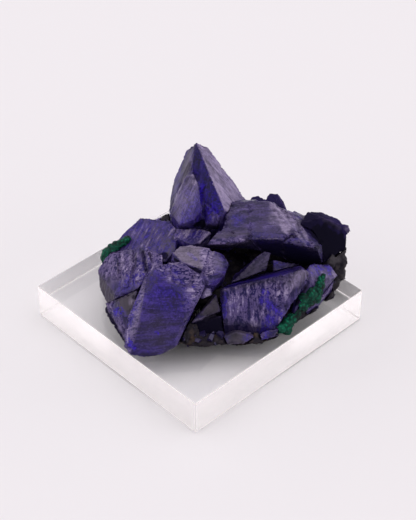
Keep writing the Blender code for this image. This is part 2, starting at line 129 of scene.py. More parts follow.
class Graph:
    """Makes nodes in one tree. A socket given as a value is linked, anything else is set."""

    def __init__(self, tree):
        self.tree = tree

    def add(self, kind, values=None, **settings):
        node = self.tree.nodes.new(kind)
        for name, value in settings.items():
            setattr(node, name, value)
        for name, value in (values or {}).items():
            self.feed(node.inputs[name], value)
        return node

    def feed(self, socket, value):
        if isinstance(value, bpy.types.NodeSocket):
            self.tree.links.new(value, socket)
        else:
            socket.default_value = value

    def noise(self, place, scale, detail=3.0, roughness=0.55, distortion=0.0):
        made = self.add("ShaderNodeTexNoise", {"Vector": place, "Scale": scale, "Detail": detail,
                                               "Roughness": roughness, "Distortion": distortion})
        return made.outputs["Fac"]

    def spread(self, value, low, high, to_low=0.0, to_high=1.0):
        """Stretch a range of a value to another range, with soft ends."""
        made = self.add("ShaderNodeMapRange", {"Value": value, "From Min": low, "From Max": high,
                                               "To Min": to_low, "To Max": to_high},
                        interpolation_type="SMOOTHSTEP")
        return made.outputs["Result"]

    def math(self, operation, one, other=0.0):
        made = self.add("ShaderNodeMath", {0: one, 1: other}, operation=operation)
        return made.outputs["Value"]

    def sum(self, *parts):
        """Weighted sum of (value, weight) pairs."""
        total = None
        for value, weight in parts:
            term = self.math("MULTIPLY", value, weight)
            total = term if total is None else self.math("ADD", total, term)
        return total

    def blend(self, share, one, other):
        made = self.add("ShaderNodeMix", data_type="RGBA")
        self.feed(made.inputs[MIX_SHARE], share)
        self.feed(made.inputs[MIX_ONE], one)
        self.feed(made.inputs[MIX_OTHER], other)
        return made.outputs[MIX_RESULT]

    def mark(self, name):
        """A number that the mesh carries at each of its points."""
        return self.add("ShaderNodeAttribute", attribute_name=name).outputs["Fac"]


def new_material(name):
    """A Principled material: the material, its graph and its shader node."""
    made = bpy.data.materials.new(name)
    made.use_nodes = True
    return made, Graph(made.node_tree), made.node_tree.nodes["Principled BSDF"]


def rgba(red, green, blue):
    return (red, green, blue, 1.0)


# %% [markdown]
# ## Light and floor
#
# The photograph was taken in a white tent: light comes from everywhere, most from the two sides, and
# least from where the photographer stands. Polished faces that look back at the camera therefore
# stay dark and show the blue of the stone. A world whose brightness depends on direction does that,
# and it is smooth, so it renders with little noise.

# %% White tent
TENT_TINT = (1.0, 0.935, 0.98)
TENT_LEVEL = 0.88
DARK_CONE = (cos(radians(52)), cos(radians(16)))
DARK_LEVEL = 0.42
# Each lamp is a direction, how many degrees it reaches from there, and its strength.
LAMPS = (
    (toward(1.0, 0.0, 1.1), 62, 0.58),
    (toward(-1.0, -0.05, 1.1), 62, 0.52),
)
LAMP_CORE = cos(radians(10))

world = bpy.data.worlds.new("tent")
world.use_nodes = True
sky = Graph(world.node_tree)
look = sky.add("ShaderNodeTexCoord").outputs["Generated"]


def facing(direction):
    made = sky.add("ShaderNodeVectorMath", {0: look, 1: direction}, operation="DOT_PRODUCT")
    return made.outputs["Value"]


level = sky.spread(facing(camera_side), *DARK_CONE, TENT_LEVEL, TENT_LEVEL * DARK_LEVEL)
for direction, reach, strength in LAMPS:
    lamp = sky.spread(facing(direction), cos(radians(reach)), LAMP_CORE, 0.0, strength)
    level = sky.math("ADD", level, lamp)
backdrop = world.node_tree.nodes["Background"]
backdrop.inputs["Color"].default_value = rgba(*TENT_TINT)
sky.feed(backdrop.inputs["Strength"], level)
scene.world = world
print("tent with", len(LAMPS), "lamps")

# %% Pale table
TABLE_HALF = 2.2
TABLE_DROP = 0.2 * MM
TABLE_COLOUR = rgba(0.785, 0.795, 0.79)

bm = bmesh.new()
bmesh.ops.create_grid(bm, x_segments=1, y_segments=1, size=TABLE_HALF)
bmesh.ops.translate(bm, vec=(0, 0, -TABLE_DROP), verts=bm.verts[:])
table_mesh = bpy.data.meshes.new("table")
bm.to_mesh(table_mesh)
bm.free()
table = bpy.data.objects.new("table", table_mesh)
scene.collection.objects.link(table)
paper, _, shader = new_material("table")
shader.inputs["Base Color"].default_value = TABLE_COLOUR
shader.inputs["Roughness"].default_value = 0.9
shader.inputs["Specular IOR Level"].default_value = 0.1
table_mesh.materials.append(paper)
print("table", 2 * TABLE_HALF, "m wide")

# %% [markdown]
# ## Azurite
#
# Azurite is a copper carbonate that looks black in a thick crystal and royal blue where light gets
# through a thin one. It bends light strongly (index about 1.75), so its polished faces mirror the
# tent, and where a face is etched it scatters and turns a greyish lilac with deep blue pits. The mesh
# carries a few numbers for that, worked out where the surface is shaped:
#
# - `grain` is the place on the face, across and along the growth lines
# - `crest` is 1 on high ground and 0 in a groove or a pit
# - `etch` is 1 where the face is eaten away, `pale` where a lilac bloom lies on it, together with a
#   painted lilac sheen that stands for the bright tent mirrored in the face
# - `grey` is 1 where a film hides the blue, and is partly a painted grey sheen for mirrored light;
#   `vivid` where the stone is thin and bright
# - `dark` is painted shade: 1 deep in a crevice, under an overhang, at a foot and on a face that
#   shows no blue; `wear_and_highlight` on a rubbed edge, pale from wear and from a painted highlight
#
# Every scale below is in waves a metre: 1700 makes spots of about half a millimetre.

# %% Azurite material
AZURITE_INDEX = 1.75
CLOUD_SCALE = 190
CRACK_SCALE = 420
FINE_SCALE = 1700
GLINT_SCALE = 3300
LINE_SCALE = 1 / (0.32 * MM)
# A growth line is this many times as long as it is wide.
LINE_LENGTH = 9
BUMP_HEIGHT = 0.08 * MM
NEAR_BLACK = rgba(0.002, 0.0015, 0.008)
PIT_BLUE = rgba(0.008, 0.004, 0.072)
NAVY = rgba(0.015, 0.010, 0.056)
ROYAL = rgba(0.055, 0.033, 0.235)
DEEP_BLUE = rgba(0.011, 0.004, 0.125)
BRIGHT_BLUE = rgba(0.040, 0.016, 0.42)
LILAC_GREY = rgba(0.102, 0.074, 0.200)
PALE_LILAC = rgba(0.345, 0.290, 0.450)
# The grey below is a film's colour and is also used as a painted sheen.
FILM_AND_SHEEN_GREY = rgba(0.052, 0.044, 0.058)


def azurite(name, depth, polish, shine=0.13):
    """depth is 0 for the blue of a thin crystal, above 1 for a black one. polish is the roughness."""
    made, graph, shader = new_material(name)
    place = graph.add("ShaderNodeTexCoord").outputs["Object"]
    grain = graph.add("ShaderNodeAttribute", attribute_name="grain").outputs["Vector"]
    stretch = (LINE_SCALE, LINE_SCALE / LINE_LENGTH, 1)
    stretched = graph.add("ShaderNodeMapping", {"Vector": grain, "Scale": stretch})
    lines = graph.noise(stretched.outputs["Vector"], 1.0, 4, 0.65, 0.3)
    clouds = graph.noise(place, CLOUD_SCALE, 3, 0.6, 0.4)
    fine = graph.noise(place, FINE_SCALE, 4, 0.7)
    crest, etch, pale = graph.mark("crest"), graph.mark("etch"), graph.mark("pale")
    mottle = graph.sum((clouds, 0.45), (crest, 0.3), (lines, 0.55), (fine, 0.35))
    body = graph.blend(graph.spread(mottle, 0.68 + 0.2 * depth, 0.98 + 0.2 * depth), NAVY, ROYAL)
    flecks = graph.math("MULTIPLY", graph.spread(fine, 0.56, 0.68), 0.5 - 0.3 * depth)
    body = graph.blend(flecks, body, LILAC_GREY)
    film_and_sheen_mottle = graph.spread(graph.sum((fine, 0.5), (lines, 0.5)), 0.3, 0.6, 0.75, 1.0)
    # Grey film, which also serves as a painted grey sheen where a face mirrors the tent.
    colour = graph.blend(graph.math("MULTIPLY", graph.mark("grey"), film_and_sheen_mottle), body, FILM_AND_SHEEN_GREY)
    high = graph.sum((crest, 0.6), (fine, 0.5), (lines, 0.3))
    ground = graph.blend(graph.spread(high, 0.56, 0.71), PIT_BLUE, LILAC_GREY)
    ground = graph.blend(graph.spread(high, 0.82, 1.06), ground, PALE_LILAC)
    colour = graph.blend(etch, colour, ground)
    speckle = graph.spread(graph.sum((fine, 0.9), (lines, 0.3), (crest, -0.2)), 0.40, 0.62)
    cover = graph.spread(graph.sum((fine, 0.6), (clouds, 0.5), (crest, -0.2)), 0.34, 0.48)
    colour = graph.blend(graph.math("MULTIPLY", graph.mark("vivid"), cover), colour,
                         graph.blend(speckle, DEEP_BLUE, BRIGHT_BLUE))
    # Pale streaks: a lilac bloom, and also a painted lilac sheen where a face mirrors the tent.
    streaks = graph.spread(graph.sum((lines, 0.7), (fine, 0.3), (crest, 0.3)), 0.45, 0.85, 0.3, 1.0)
    colour = graph.blend(graph.math("MULTIPLY", pale, streaks), colour, PALE_LILAC)
    # Rubbed edges are pale from wear, and lighter still as a painted highlight along them.
    colour = graph.blend(graph.math("MULTIPLY", graph.mark("wear_and_highlight"), 0.5), colour, LILAC_GREY)
    # Painted glints: sparse pale specks where tiny facets would catch the light.
    painted_glints = graph.spread(graph.noise(place, GLINT_SCALE, 2, 0.5), 0.76, 0.8)
    colour = graph.blend(painted_glints, colour, PALE_LILAC)
    level = graph.math("SUBTRACT", graph.noise(place, CRACK_SCALE, 5, 0.7, 1.0), 0.5)
    cracks = graph.spread(graph.math("ABSOLUTE", level), 0.0, 0.014, 0.85, 0.0)
    cracks = graph.math("MULTIPLY", cracks, graph.spread(clouds, 0.42, 0.6))
    colour = graph.blend(cracks, colour, NEAR_BLACK)
    # Painted shade: the dark mark turns crevices, undersides, feet and faces that mirror the dark side
    # of the tent near black.
    colour = graph.blend(graph.mark("dark"), colour, NEAR_BLACK)
    graph.feed(shader.inputs["Base Color"], colour)
    rough = graph.sum((etch, 0.25), (pale, 0.2), (lines, 0.2), (1.0, polish))
    graph.feed(shader.inputs["Roughness"], rough)
    shader.inputs["IOR"].default_value = AZURITE_INDEX
    shader.inputs["Specular IOR Level"].default_value = shine
    relief = graph.sum((lines, 0.6), (fine, 0.4))
    bump = graph.add("ShaderNodeBump", {"Height": relief, "Distance": BUMP_HEIGHT,
                                        "Strength": graph.sum((etch, 0.6), (1.0, 0.3))})
    graph.feed(shader.inputs["Normal"], bump.outputs["Normal"])
    return made


blue = azurite("azurite", 0.45, 0.22)
thin_blue = azurite("azurite_thin", 0.25, 0.22)
# The near-black finish dresses the black crystals, and also every face that is painted in shade.
black_and_shade = azurite("azurite_black_and_shade", 1.3, 0.45, 0.03)
print("azurite finishes:", blue.name, thin_blue.name, black_and_shade.name)

# %% [markdown]
# ## From a plain solid to a crystal's surface
#
# The frame's solids have the right faces but nothing on them. A copy of one is remeshed into even
# cells about a fifth of a millimetre across, so that every place on it can be moved a little. Each
# point is then moved along the normal of the flat face that it belongs to, which keeps the faces flat
# at heart and the edges crisp. The solids stand 0.3 mm clear of one another, so the copy is grown
# first and the real crystals' joints close. A remesh can leave a crumb beside the piece, where a
# wedge of the solid is thinner than a cell, so only the largest shell is kept.

# %% Even copies of a node
CLOSE_GAP = 0.1 * MM
SAME_POINT = 0.0005 * MM


def merged(node, grow):
    """A bmesh of a CAD node with its loose triangles joined, grown outwards a little."""
    bm = bmesh.new()
    bm.from_mesh(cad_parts[node].data)
    bmesh.ops.remove_doubles(bm, verts=bm.verts[:], dist=SAME_POINT)
    bm.normal_update()
    steps = [vertex.normal * grow for vertex in bm.verts]
    for vertex, step in zip(bm.verts, steps):
        vertex.co += step
    bm.normal_update()
    return bm


def object_from(name, bm):
    mesh = bpy.data.meshes.new(name)
    bm.to_mesh(mesh)
    bm.free()
    made = bpy.data.objects.new(name, mesh)
    scene.collection.objects.link(made)
    return made


def drop_crumbs(mesh):
    """Keep the mesh's largest shell, and delete the crumbs that a remesh leaves beside it."""
    bm = bmesh.new()
    bm.from_mesh(mesh)
    unseen = set(bm.verts)
    shells = []
    while unseen:
        front = {unseen.pop()}
        shell = set(front)
        while front:
            front = {edge.other_vert(vertex) for vertex in front for edge in vertex.link_edges} & unseen
            unseen -= front
            shell |= front
        shells.append(shell)
    largest = max(shells, key=len)
    crumbs = [vertex for shell in shells if shell is not largest for vertex in shell]
    if crumbs:
        bmesh.ops.delete(bm, geom=crumbs, context="VERTS")
        bm.to_mesh(mesh)
    bm.free()


def even_cells(piece, cell):
    """Replace the mesh by one of even square cells of the same shape."""
    remesh = piece.modifiers.new("even cells", "REMESH")
    remesh.mode = "VOXEL"
    remesh.voxel_size = cell
    graph = bpy.context.evaluated_depsgraph_get()
    mesh = bpy.data.meshes.new_from_object(piece.evaluated_get(graph))
    piece.modifiers.clear()
    old = piece.data
    piece.data = mesh
    bpy.data.meshes.remove(old)
    drop_crumbs(mesh)


def shape_surface(mesh, moves, marks):
    """Move every point of a mesh, and store the marks that its material reads."""
    for vertex, move in zip(mesh.vertices, moves):
        vertex.co += move
    for name, values in marks.items():
        attribute = mesh.attributes.new(name, "FLOAT", "POINT")
        attribute.data.foreach_set("value", values)


def finish_piece(piece, finish, node, crisp):
    """Shade a piece, give it its finish, and let it stand for its node."""
    piece.data.shade_smooth()
    piece.data.set_sharp_from_angle(angle=crisp)
    piece.data.materials.clear()
    piece.data.materials.append(finish)
    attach(piece, "root")
    if node:
        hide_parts(node)
    print(piece.name, len(piece.data.vertices), "points")


# %% [markdown]
# ## What is on a face
#
# Three habits of the stone make its look. Growth lines run along a face like the grain of wood: noise
# that changes quickly across them and slowly along them. Etched patches are high ground with pits
# and cracks in it. Steps are low terraces, where one growth layer ends. On top of that, patches are
# painted on: a patch is a stroke between two places, or every face that looks one way. Some patches
# paint light and shade: a sheen where a face mirrors the tent, and shade in crevices and under
# overcroppings.

# %% Patches
RAG = 0.4
RAG_SIZE = 1.3 * MM
FADE = 0.35


def limited(value):
    return min(1.0, max(0.0, value))


class Patch:
    """One mark painted on part of a crystal. `fade` is the soft share of its width."""

    def __init__(self, mark, strength, start=None, end=None, width=0.0, way=None, spread=40, fade=FADE):
        self.mark = mark
        self.fade = fade
        self.strength = strength
        self.start = start
        self.end = end or start
        self.width = width * MM
        self.way = way
        self.closest = cos(radians(spread))

    def amount(self, place, normal, rag):
        if self.way is not None and normal.dot(self.way) < self.closest:
            return 0.0
        if self.start is None:
            return self.strength
        run = self.end - self.start
        share = (place - self.start).dot(run) / run.length_squared if run.length_squared else 0.0
        middle = self.start + run * limited(share)
        far = (place - middle).length / self.width + rag
        return self.strength * limited((1.0 + self.fade / 2 - far) / self.fade)


def spot(mark, strength, place, width, way=None, fade=FADE):
    return Patch(mark, strength, at(*place), None, width, way and toward(*way), fade=fade)


def stroke(mark, strength, start, end, width, way=None, fade=FADE):
    return Patch(mark, strength, at(*start), at(*end), width, way and toward(*way), fade=fade)


def faces_toward(mark, strength, way, spread):
    return Patch(mark, strength, way=toward(*way), spread=spread)


def painted_marks(names, patches, place, normal):
    """How strong each of the named marks is at a place, where the strongest patch counts."""
    rag = RAG * noise.noise(place / RAG_SIZE)
    painted = dict.fromkeys(names, 0.0)
    for patch in patches:
        painted[patch.mark] = max(painted[patch.mark], patch.amount(place, normal, rag))
    return painted


# %% Growth lines, pits and steps
LINE_STRETCH = 11
STEP_SIZE = 3.4 * MM
STEP_LEVELS = 5
STEP_RAG_SIZE = 0.5 * MM
PIT_SIZE = 0.5 * MM
PIT_RIM = 0.18
CRACK_WIDTH = 0.12


def growth_lines(across, along, shift, pitch):
    """Stretched noise in a face, from about -1 to 1."""
    slow = along / (pitch * LINE_STRETCH)
    broad = noise.noise(Vector((across / pitch * 0.35 + shift, slow, shift)))
    middle = noise.noise(Vector((across / pitch * 0.9 + shift, slow * 1.7 + 5, shift)))
    fine = noise.noise(Vector((across / pitch * 2.1 + shift, slow * 3 + 9, shift)))
    return broad * 0.9 + middle * 0.8 + fine * 0.45


def eaten_ground(across, along, shift):
    """High ground with pits and short cracks in it, 1 on the ground and 0 in a pit."""
    here = Vector((across / PIT_SIZE + shift, along / (PIT_SIZE * 1.5), shift))
    bend = Vector((noise.noise(here * 1.3), noise.noise(here * 1.3 + Vector((9, 9, 9))), 0))
    far, middles = noise.voronoi(here + bend * 0.8)
    size = 0.2 + 0.35 * noise.cell(middles[0] * 4.7)
    pit = limited((size + PIT_RIM - far[0]) / PIT_RIM)
    off_crack = abs(noise.noise(Vector((here.x * 0.8, here.y * 0.35, shift + 3)))) / CRACK_WIDTH
    crack = 1 - min(1.0, off_crack)
    return 1 - max(pit, crack) - 0.25 * (0.5 + 0.5 * noise.noise(here * 0.5))


def terraces(across, along, shift):
    """Flat layers that end in low steps, from 0 to 1."""
    wide = noise.noise(Vector((across / STEP_SIZE + shift, along / (STEP_SIZE * 2), shift)))
    height = (wide * 0.5 + 0.5) * STEP_LEVELS
    return floor(height + 0.12 * noise.noise(Vector((across, along, 0)) / STEP_RAG_SIZE)) / STEP_LEVELS


# %% [markdown]
# ## Rubbed and chipped edges
#
# No edge of the real crystals is straight: each is rubbed pale and has small bites out of it, and the
# pale rim is also painted lighter as a highlight. Points strung along the solid's sharp outer edges go
# into a search tree, and every point of the surface that lies close to one of them is sunk where a
# noise says that there is a bite.

# %% Edges
SHARP_EDGE = radians(18)
EDGE_REACH = 0.95 * MM
EDGE_STEP = 0.15 * MM
BITE_SIZE = 0.9 * MM


def outer_edges(bm):
    """A search tree of points along the sharp convex edges."""
    strung = []
    for edge in bm.edges:
        if len(edge.link_faces) == 2 and edge.calc_face_angle_signed() > SHARP_EDGE:
            start, end = (vertex.co for vertex in edge.verts)
            count = max(1, int((end - start).length / EDGE_STEP))
            strung += [start.lerp(end, step / count) for step in range(count + 1)]
    tree = KDTree(len(strung))
    for index, place in enumerate(strung):
        tree.insert(place, index)
    tree.balance()
    return tree


def bite(place, depth):
    """How far an edge is sunk here, in millimetres."""
    broad = noise.noise(place / (BITE_SIZE * 2.6))
    coarse = noise.noise(place / BITE_SIZE)
    fine = noise.noise(place / (BITE_SIZE * 0.37) + Vector((4, 4, 4)))
    return depth * max(-0.1, broad + coarse + 0.6 * fine)


# %% [markdown]
# `dress` puts these together for one crystal. `grain` is the direction in which its growth lines run,
# `relief` how high they stand in millimetres, `pitch` how far apart they are, `steps` how high its
# terraces rise, `pitted` how much of an etched patch is pits rather than grooves along the grain, and
# `chips` how deep its edges are bitten. A face marked dark enough, which is painted shade, takes the
# black finish, which has almost no shine, because a glossy one would mirror the pale tent into the
# crevices.

# %% Dressing a crystal
CRYSTAL_CELL = 0.2 * MM
CRYSTAL_CRISP = radians(34)
SEED_STEP = 0.37
FACE_SHIFT = Vector((3.1, 5.7, 2.3))
ETCH_DEPTH = 0.2
ETCH_LEAST = 0.02
GROUND_LEVEL = 0.7
GROOVE_DEPTH = 0.6
SWELL = 0.12
SWELL_SIZE = 3.2 * MM
WEAR_FROM = 0.55
WEAR_RISE = 2.2
WEAR_SIZE = 1.6 * MM
SHADE = 0.6
PAINTED = ("etch", "pale", "grey", "vivid", "dark")


def paint_shade_finish(mesh, dark):
    """Give the faces whose first point is marked dark, as painted shade, the near-black finish."""
    mesh.materials.append(black_and_shade)
    shaded = [mark > SHADE for mark in dark]
    first = [0] * len(mesh.polygons)
    mesh.polygons.foreach_get("loop_start", first)
    corners = [0] * len(mesh.loops)
    mesh.loops.foreach_get("vertex_index", corners)
    mesh.polygons.foreach_set("material_index", [int(shaded[corners[corner]]) for corner in first])


def dress(node, finish, grain, relief, pitch, steps, patches=(), pitted=0.7, chips=0.45):
    """Make the shown surface of a crystal node, with its marks, and let it stand for the node."""
    seed = sum(ord(letter) for letter in node) * SEED_STEP
    coarse = merged(node, CLOSE_GAP)
    faces = BVHTree.FromBMesh(coarse)
    edges = outer_edges(coarse)
    piece = object_from(node + "_surface", coarse)
    even_cells(piece, CRYSTAL_CELL)
    grain = toward(*grain)
    marks = {name: [] for name in ("crest", "wear_and_highlight", *PAINTED)}
    moves, grains = [], []
    for vertex in piece.data.vertices:
        place = vertex.co
        _, normal, _, _ = faces.find_nearest(place)
        lines_along = (grain - normal * grain.dot(normal)).normalized()
        lines_across = normal.cross(lines_along)
        along = place.dot(lines_along)
        across = place.dot(lines_across)
        shift = seed + normal.dot(FACE_SHIFT)
        painted = painted_marks(PAINTED, patches, place, normal)
        etch = painted["etch"]
        lines = growth_lines(across, along, shift, pitch * MM)
        height = relief * lines + SWELL * noise.noise(place / SWELL_SIZE)
        crest = 0.5 + 0.5 * lines
        if steps:
            height += steps * terraces(across, along, shift)
        if etch > ETCH_LEAST:
            ground = eaten_ground(across, along, shift)
            pits, grooves = ground - GROUND_LEVEL, (1 - pitted) * GROOVE_DEPTH * lines
            height += ETCH_DEPTH * etch * (pitted * pits + grooves)
            crest += (pitted * ground + (1 - pitted) * (0.5 + 1.5 * lines) - crest) * etch
        _, _, edge_far = edges.find(place)
        near_edge = max(0.0, 1 - edge_far / EDGE_REACH)
        height -= near_edge * bite(place, chips)
        # How pale the edge is painted: wear, and a painted highlight.
        rubbed_and_lit = min(1.0, WEAR_RISE * max(0.0, near_edge - WEAR_FROM))
        wear_and_highlight = rubbed_and_lit * (0.6 + noise.noise(place / WEAR_SIZE))
        moves.append(normal * (height * MM))
        grains.extend((across, along, shift))
        marks["crest"].append(limited(crest))
        marks["wear_and_highlight"].append(limited(wear_and_highlight))
        for name in PAINTED:
            marks[name].append(painted[name])
    shape_surface(piece.data, moves, marks)
    attribute = piece.data.attributes.new("grain", "FLOAT_VECTOR", "POINT")
    attribute.data.foreach_set("vector", grains)
    finish_piece(piece, finish, node, CRYSTAL_CRISP)
    paint_shade_finish(piece.data, marks["dark"])


# %% [markdown]
# ## The crystals
#
# Each crystal gets its own grain and its own patches. An image could carry them, but a patch that is
# placed in millimetres stays where it is from every side, and is easy to move. A later patch doesn't
# cover an earlier one: where two patches of one mark meet, the stronger counts.
#
# The spire stands up steeply, and its lines run to the tip. Its right face carries a lilac bloom in
# streaks under a painted lilac sheen, its front one is the purest blue of the specimen, and under the
# tip it is darkest, in painted shade. Light gets through its thin tip and shoulder, so it has the thin
# blue finish.

# %% Spire
# Here `pale` on the right face is partly a painted sheen, and each `dark` patch is painted shade.
dress("spire_crystal", thin_blue, (0.05, -0.35, 1.0), 0.07, 0.75, 0.0, [
    faces_toward("pale", 0.95, (0.84, -0.3, 0.45), 24),
    stroke("pale", 1.0, (1.9, 7.2, 42.8), (6.3, 4.4, 33.5), 0.8, (0.84, -0.3, 0.45)),
    stroke("dark", 0.35, (1.2, 8.6, 45.5), (3.4, 8.2, 41.5), 0.9, fade=1.0),
    stroke("dark", 0.3, (4.4, 7, 40), (5.6, 6.2, 36.6), 0.6, fade=1.0),
    stroke("vivid", 0.4, (-0.9, 8, 46.5), (1, 6.8, 40.5), 1.8, fade=0.8),
    stroke("dark", 0.55, (-1, 8.4, 48), (-0.6, 7.5, 43.5), 1.1, fade=1.0),
    stroke("dark", 0.35, (-0.2, 7.6, 44), (2.6, 5.9, 38.5), 1.0, fade=1.0),
    stroke("dark", 0.45, (2.6, 5.9, 38.5), (4.4, 4.9, 35), 0.8, fade=0.8),
    spot("vivid", 1.0, (2.8, 4.6, 34.3), 3.8, fade=1.0),
    spot("vivid", 1.0, (0.8, 5.2, 37.5), 2.8, fade=1.0),
    spot("vivid", 0.7, (-0.2, 3.6, 33.5), 3.0, fade=1.0),
    stroke("grey", 0.4, (-3.5, 9, 45), (-6.4, 6, 32), 2.6, (-0.9, -0.2, 0.3), 1.0),
    stroke("pale", 0.4, (-3.2, 9, 46), (-5.9, 6, 34), 1.6, (-0.9, -0.2, 0.3), 1.0),
    stroke("pale", 0.45, (-1.8, 4.2, 40.5), (-4.5, 3.5, 32), 2.4, fade=1.0),
    spot("pale", 1.0, (-1.4, 4.4, 41.3), 0.8),
    spot("pale", 0.8, (-1.7, 5.3, 42.8), 0.8, fade=0.8),
    stroke("dark", 0.5, (-2.9, 8.3, 43.5), (-3.6, 8.5, 40.7), 1.1, fade=0.8),
    stroke("vivid", 0.7, (-2, 3, 37), (-3.7, 1.8, 31), 2.2, fade=1.2),
    stroke("dark", 0.9, (-0.6, 4, 28.6), (4, 2.4, 28), 1.3, fade=0.6),
    spot("etch", 0.5, (4.2, 2.8, 30.5), 2.0, fade=1.0),
])

# %% [markdown]
# The roof is a broad plate with a dull top, under a slight film and a painted grey sheen, that ends in
# low steps. A pale streaked band, bloom with a painted sheen, runs down its slope to the right, its
# front lip is eaten away, and its underside, which faces the hollow, is painted in shade and shows no
# blue at all: one patch darkens every face that looks down and forward.

# %% Roof
# On the roof, `grey` on the top is partly a painted sheen, and each `dark` patch is painted shade.
dress("roof_crystal", blue, (1.0, 0.12, -0.03), 0.05, 0.6, 0.12, [
    faces_toward("grey", 0.3, (0.0, -0.29, 0.96), 22),
    faces_toward("etch", 0.22, (0.0, -0.29, 0.96), 22),
    stroke("pale", 0.9, (18.2, 7.8, 31.6), (21.7, -0.2, 30), 0.9, fade=0.8),
    stroke("pale", 1.0, (19.8, 7.6, 31.3), (22.2, -0.4, 29.9), 1.1, fade=0.6),
    stroke("pale", 1.0, (21.2, 7, 30.9), (22.4, 1, 30.2), 0.8, fade=0.6),
    stroke("pale", 0.7, (22.8, 7, 30.3), (24.2, 2, 29.9), 0.9, fade=1.2),
    stroke("pale", 0.65, (24.8, 4.9, 29.5), (27.2, -1.8, 28.1), 0.5, fade=0.8),
    stroke("pale", 0.6, (23.4, 1.5, 29.6), (26.6, -3, 28), 0.45, fade=0.8),
    stroke("pale", 0.6, (20.6, 3.6, 30.6), (23.2, 2.4, 30), 2.6, fade=1.0),
    stroke("dark", 0.55, (26.6, 3.6, 28.6), (29.6, -2.4, 26.9), 1.3, fade=0.8),
    spot("vivid", 0.45, (9.5, 2.4, 31), 1.6, fade=1.2),
    stroke("grey", 0.75, (3, -4.2, 29.2), (11.5, -2.8, 29.5), 2.6, fade=0.8),
    stroke("etch", 0.8, (3, -4.8, 29.2), (11.5, -3.2, 29.3), 1.3, fade=0.8),
    stroke("dark", 0.58, (12.5, -3.3, 29.5), (26, -3.6, 27.9), 1.2, fade=1.2),
    stroke("vivid", 0.3, (14, -2.8, 29.5), (26, -3.2, 28), 1.5, fade=1.0),
    stroke("etch", 0.6, (11.5, -3.4, 29.3), (21.5, -2.8, 29), 0.9),
    stroke("etch", 0.6, (21.5, -2, 28.7), (28.5, -3.3, 27.4), 1.3, fade=0.8),
    spot("dark", 0.9, (30.2, 1.5, 27.2), 2.6),
    faces_toward("dark", 0.8, (0.05, -0.9, -0.4), 38),
], 0.5, 0.9)

# %% [markdown]
# The thick crystal at the front left has three finishes side by side: a smooth main face with fine
# lines across it, a flank and a bevel eaten into pits and pale ridges, and a flat cap under a grey
# film, whose grey and pale are also a painted sheen for the light it mirrors. Painted shade darkens a
# thin line across the top and the foot. A patch that is given a direction keeps to the faces that look
# that way, so neighbouring faces can differ up to the very edge between them.

# %% Front left crystal
MAIN_FACE = (0.05, -0.72, 0.69)
LEFT_STRIP = (-0.7, -0.43, 0.57)
CAP = (0.08, -0.33, 0.94)
dress("front_crystal", thin_blue, (1.0, 0.02, 0.1), 0.035, 0.55, 0.06, [
    stroke("vivid", 0.4, (-10, -16, 25.2), (-6.5, -18.8, 22.6), 3.6, MAIN_FACE, 1.2),
    spot("grey", 0.35, (-9.5, -23.5, 16), 5.5, fade=1.0),
    faces_toward("etch", 0.7, LEFT_STRIP, 22),
    stroke("vivid", 0.4, (-14.8, -17.6, 21.9), (-18.2, -22.5, 14), 1.6, LEFT_STRIP, 1.0),
    stroke("grey", 0.7, (-12.6, -16.4, 25), (-15.8, -23.2, 15.6), 1.2, LEFT_STRIP, 0.8),
    stroke("pale", 0.3, (-12.6, -16.4, 25), (-15.8, -23.2, 15.6), 1.2, LEFT_STRIP, 0.8),
    faces_toward("pale", 0.5, CAP, 12),
    faces_toward("grey", 1.0, CAP, 12),
    stroke("vivid", 0.5, (-2.4, -8.1, 28.2), (-0.7, -9.3, 27.7), 0.5),
    stroke("etch", 0.95, (-7.8, -12.5, 27.6), (-0.8, -14.5, 24.6), 2.7, fade=0.8),
    stroke("etch", 0.9, (-2, -14, 25), (0, -16.3, 22.3), 2.6, fade=0.8),
    stroke("etch", 0.6, (-0.8, -17, 22), (-2, -19.4, 21.2), 1.7, fade=1.0),
    stroke("grey", 0.8, (-11.1, -15.1, 26.5), (-12.2, -17, 24.8), 1.2, fade=0.8),
    stroke("pale", 0.8, (-17.3, -22, 15.4), (-17.2, -24.6, 13.4), 0.35),
    stroke("etch", 1.0, (1.6, -7.5, 27.9), (2.8, -11.8, 25.2), 1.7, fade=0.6),
    stroke("vivid", 0.35, (-6.8, -13.2, 27.3), (-4.5, -16.4, 24), 1.5, fade=1.2),
    spot("vivid", 0.9, (-1, -15.2, 24), 0.5),
    spot("pale", 0.45, (4.2, -8.6, 26), 2.0, fade=1.0),
    spot("pale", 0.8, (2.3, -14.4, 20.5), 1.1),
    stroke("dark", 0.85, (-6, -9.3, 27.4), (0.6, -12.3, 25.9), 0.45),
    spot("vivid", 1.0, (-10, -24, 15.9), 0.55),
    stroke("vivid", 1.0, (-17, -24.4, 13.6), (-15.8, -25.8, 12.8), 0.8),
    spot("vivid", 0.8, (-12, -26.3, 11.8), 0.5),
    stroke("dark", 0.6, (-16, -26.4, 11.6), (-8, -27, 10.6), 0.7, fade=1.0),
], 0.8)

# %% [markdown]
# The square-ended crystal at the front right is ribbed from top to bottom. Its grain points down its
# face, its relief is high, and more of its etched ground is grooves than on the other crystals at the
# front. Blue shows between the ribs and along the upper edge, and painted shade darkens its foot, its
# left edge and the band along its top.

